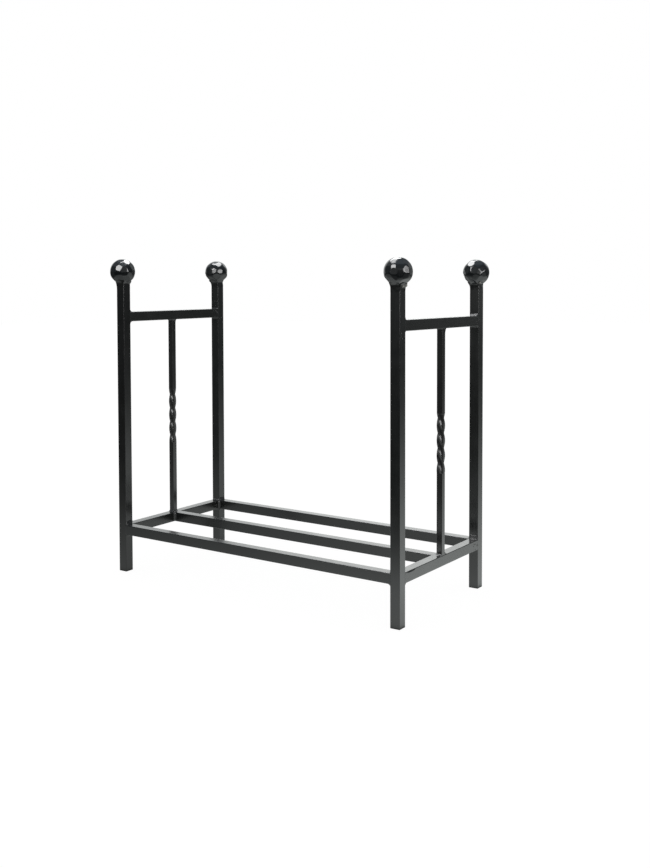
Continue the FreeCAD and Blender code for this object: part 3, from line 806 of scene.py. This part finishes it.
def make_floor():
    bm = bmesh.new()
    bmesh.ops.create_circle(bm, cap_ends=True, segments=96, radius=9.0)
    mesh = bpy.data.meshes.new("floor")
    bm.to_mesh(mesh)
    bm.free()
    obj = bpy.data.objects.new("floor", mesh)
    scene.collection.objects.link(obj)
    material = bpy.data.materials.new("pale_floor")
    material.use_nodes = True
    material.cycles.emission_sampling = "NONE"
    tree = material.node_tree
    tree.nodes.clear()
    link = tree.links.new
    out = add(tree, "ShaderNodeOutputMaterial")
    rays = add(tree, "ShaderNodeLightPath")
    where = add(tree, "ShaderNodeTexCoord")
    split = add(tree, "ShaderNodeSeparateXYZ")
    link(where.outputs["Object"], split.inputs["Vector"])
    x, y = split.outputs["X"], split.outputs["Y"]
    # a pool of light beside the object, which falls off fast in front
    def squares(*pairs):
        parts = []
        for value, middle, reach in pairs:
            shifted = math_node(tree, "MULTIPLY_ADD", value, 1.0 / reach, -middle / reach)
            parts.append(math_node(tree, "MULTIPLY", shifted, shifted))
        return math_node(tree, "ADD", *parts)

    def past(edge, *pairs):
        """How far a weighted sum of values lies past an edge."""
        total = -edge
        for value, weight in pairs:
            total = math_node(tree, "MULTIPLY_ADD", value, weight, total)
        return math_node(tree, "MAXIMUM", total, 0.0)

    away = math_node(tree, "SQRT", squares((x, *POOL_AT[0]), (y, *POOL_AT[1])))
    front = past(POOL_FRONT[0], (y, -1.0))
    near = past(POOL_NEAR[0], (x, -BEHIND.x), (y, -BEHIND.y))
    fall = math_node(tree, "MULTIPLY", away, -1.0)
    fall = math_node(tree, "MULTIPLY_ADD", front, -1.0 / POOL_FRONT[1], fall)
    fall = math_node(tree, "MULTIPLY_ADD", near, -1.0 / POOL_NEAR[1], fall)
    lit = math_node(tree, "EXPONENT", fall)
    # dimmer towards the left
    side = math_node(tree, "MULTIPLY_ADD", x, 0.35, 0.965)
    side = math_node(tree, "MAXIMUM", math_node(tree, "MINIMUM", side, 1.06), 0.6)
    lit = math_node(tree, "MULTIPLY", lit, side)
    # the object's own soft shade under its rails, and the light from in front
    def spot(*pairs):
        return math_node(tree, "EXPONENT", math_node(tree, "MULTIPLY", squares(*pairs), -1.0))

    shade = math_node(tree, "MULTIPLY_ADD", spot((x, 0.08, 0.25), (y, -0.02, 0.16)), -0.30, 1.0)
    shade = math_node(tree, "MULTIPLY_ADD", spot((x, 0.15, 0.30), (y, -0.36, 0.20)), 0.27, shade)
    lit = math_node(tree, "MULTIPLY", lit, shade)
    pool = math_node(tree, "MULTIPLY_ADD", lit, POOL_PEAK, POOL_FAR)
    # and the painted contact shadow close round each foot
    gaps = []
    for value, middle in ((x, POST_X * MM), (y, POST_Y * MM)):
        gap = math_node(tree, "ABSOLUTE", math_node(tree, "SUBTRACT", math_node(tree, "ABSOLUTE", value), middle))
        gap = past(HALF * MM, (gap, 1.0))
        gaps.append(math_node(tree, "MULTIPLY", gap, gap))
    gap = math_node(tree, "SQRT", math_node(tree, "ADD", *gaps))
    contact = math_node(tree, "EXPONENT", math_node(tree, "MULTIPLY", gap, -1.0 / 0.006))
    pool = math_node(tree, "MULTIPLY", pool, math_node(tree, "MULTIPLY_ADD", contact, -0.9, 1.0))
    seen = add(tree, "ShaderNodeEmission")
    seen.inputs["Color"].default_value = (0.955, 1.0, 0.985, 1)
    link(pool, seen.inputs["Strength"])
    even = add(tree, "ShaderNodeEmission")
    even.inputs["Color"].default_value = (1, 1, 1, 1)
    even.inputs["Strength"].default_value = 0.6
    white = add(tree, "ShaderNodeBsdfDiffuse")
    white.inputs["Color"].default_value = (0.12, 0.12, 0.12, 1)
    lift = add(tree, "ShaderNodeEmission")
    lift.inputs["Strength"].default_value = 0.94
    paper = add(tree, "ShaderNodeAddShader")
    link(white.outputs["BSDF"], paper.inputs[0])
    link(lift.outputs["Emission"], paper.inputs[1])
    first = add(tree, "ShaderNodeMixShader")
    link(rays.outputs["Is Glossy Ray"], first.inputs["Fac"])
    link(even.outputs["Emission"], first.inputs[1])
    link(seen.outputs["Emission"], first.inputs[2])
    second = add(tree, "ShaderNodeMixShader")
    link(rays.outputs["Is Camera Ray"], second.inputs["Fac"])
    link(first.outputs["Shader"], second.inputs[1])
    link(paper.outputs["Shader"], second.inputs[2])
    link(second.outputs["Shader"], out.inputs["Surface"])
    mesh.materials.append(material)


# The walls and the lit backdrop as the paint mirrors them: degrees to the right
# of straight behind the object, and how bright.
ROUND = (
    (-180, 0.40), (-150, 0.36), (-130, 0.40), (-120, 0.42), (-117, 0.24), (-114, 0.11), (-110, 0.15), (-106, 0.20),
    (-102.5, 0.03), (-92, 0.0), (-84, 0.04), (-72, 0.25), (-60, 0.68), (-50, 0.92), (-36, 1.12), (-12, 1.06),
    (-5, 1.43), (-2, 1.76), (3, 2.05), (8, 1.86), (20, 1.08), (36, 0.43), (55, 0.28), (61, 0.25), (66, 0.09),
    (70, 0.12), (74.5, 0.22), (79, 0.02), (110, 0.04), (150, 0.30), (170, 0.44), (180, 0.40),
)
BRIGHT = 2.2
# The room above: the sine of the height, and how bright.
UPWARD = ((0.0, 0.075), (0.13, 0.09), (0.34, 0.14), (0.61, 0.27), (0.79, 0.40), (0.92, 0.75), (1.0, 0.90))


def make_world():
    world = bpy.data.worlds.new("studio")
    scene.world = world
    world.use_nodes = True
    world.cycles.sampling_method = "NONE"
    tree = world.node_tree
    tree.nodes.clear()
    link = tree.links.new
    out = add(tree, "ShaderNodeOutputWorld")
    rays = add(tree, "ShaderNodeLightPath")
    where = add(tree, "ShaderNodeTexCoord")
    split = add(tree, "ShaderNodeSeparateXYZ")
    link(where.outputs["Generated"], split.inputs["Vector"])
    x, y, z = (split.outputs[k] for k in "XYZ")
    # where a direction lies round the object, from straight behind it
    sideways = math_node(
        tree, "ADD", math_node(tree, "MULTIPLY", x, RIGHT.x), math_node(tree, "MULTIPLY", y, RIGHT.y)
    )
    behind = math_node(
        tree, "ADD", math_node(tree, "MULTIPLY", x, BEHIND.x), math_node(tree, "MULTIPLY", y, BEHIND.y)
    )
    turned = math_node(tree, "ARCTAN2", sideways, behind)

    def table(steps):
        made = add(tree, "ShaderNodeValToRGB")
        while len(made.color_ramp.elements) < len(steps):
            made.color_ramp.elements.new(0.5)
        for element, (place, value) in zip(made.color_ramp.elements, steps):
            element.position = place
            element.color = (value, value, value, 1)
        return made

    ramp = table([(angle / 360.0 + 0.5, value / BRIGHT) for angle, value in ROUND])
    link(math_node(tree, "MULTIPLY_ADD", turned, 0.5 / math.pi, 0.5), ramp.inputs["Fac"])
    high = add(tree, "ShaderNodeMapRange", interpolation_type="SMOOTHSTEP")
    high.inputs["From Min"].default_value = 0.45
    high.inputs["From Max"].default_value = 0.80
    high.inputs["To Min"].default_value = 1.0
    high.inputs["To Max"].default_value = 0.0
    link(z, high.inputs["Value"])
    glow = math_node(tree, "MULTIPLY", ramp.outputs["Color"], high.outputs["Result"])
    backdrop = add(tree, "ShaderNodeBackground")
    backdrop.inputs["Color"].default_value = (0.984, 1.0, 0.978, 1)
    link(math_node(tree, "MULTIPLY", glow, BRIGHT), backdrop.inputs["Strength"])
    room = add(tree, "ShaderNodeBackground")
    room.inputs["Color"].default_value = (0.86, 1.0, 1.12, 1)
    above = table(UPWARD)
    link(z, above.inputs["Fac"])
    link(above.outputs["Color"], room.inputs["Strength"])
    seen = add(tree, "ShaderNodeAddShader")
    link(backdrop.outputs["Background"], seen.inputs[0])
    link(room.outputs["Background"], seen.inputs[1])
    even = add(tree, "ShaderNodeBackground")
    even.inputs["Color"].default_value = (1, 1, 1, 1)
    even.inputs["Strength"].default_value = 0.6
    plain = add(tree, "ShaderNodeBackground")
    plain.inputs["Color"].default_value = (1, 1, 1, 1)
    plain.inputs["Strength"].default_value = 1.0
    first = add(tree, "ShaderNodeMixShader")
    link(rays.outputs["Is Glossy Ray"], first.inputs["Fac"])
    link(even.outputs["Background"], first.inputs[1])
    link(seen.outputs["Shader"], first.inputs[2])
    second = add(tree, "ShaderNodeMixShader")
    link(rays.outputs["Is Camera Ray"], second.inputs["Fac"])
    link(first.outputs["Shader"], second.inputs[1])
    link(plain.outputs["Background"], second.inputs[2])
    link(second.outputs["Shader"], out.inputs["Surface"])


def softbox(name, at, aim, wide, tall, radiance):
    light = bpy.data.lights.new(name, "AREA")
    light.shape = "RECTANGLE"
    light.size, light.size_y = wide, tall
    light.energy = radiance * math.pi * wide * tall
    obj = bpy.data.objects.new(name, light)
    obj.location = at
    if aim:  # else it hangs level and shines straight down
        obj.rotation_mode = "QUATERNION"
        obj.rotation_quaternion = (Vector(aim) - Vector(at)).to_track_quat("-Z", "Y")
    obj.visible_camera = False
    obj.visible_diffuse = False
    scene.collection.objects.link(obj)


make_floor()
make_world()
softbox("softbox_above", (-0.40, 0.465, 1.75), None, 0.945, 1.25, 13.6)
softbox("softbox_front", (-0.30, -1.55, 1.44), (0.0, 0.0, 0.5), 1.12, 0.88, 13.4)
softbox("softbox_side", (1.80, -0.31, 0.82), (0.0, 0.0, 0.6), 1.42, 0.76, 8.0)
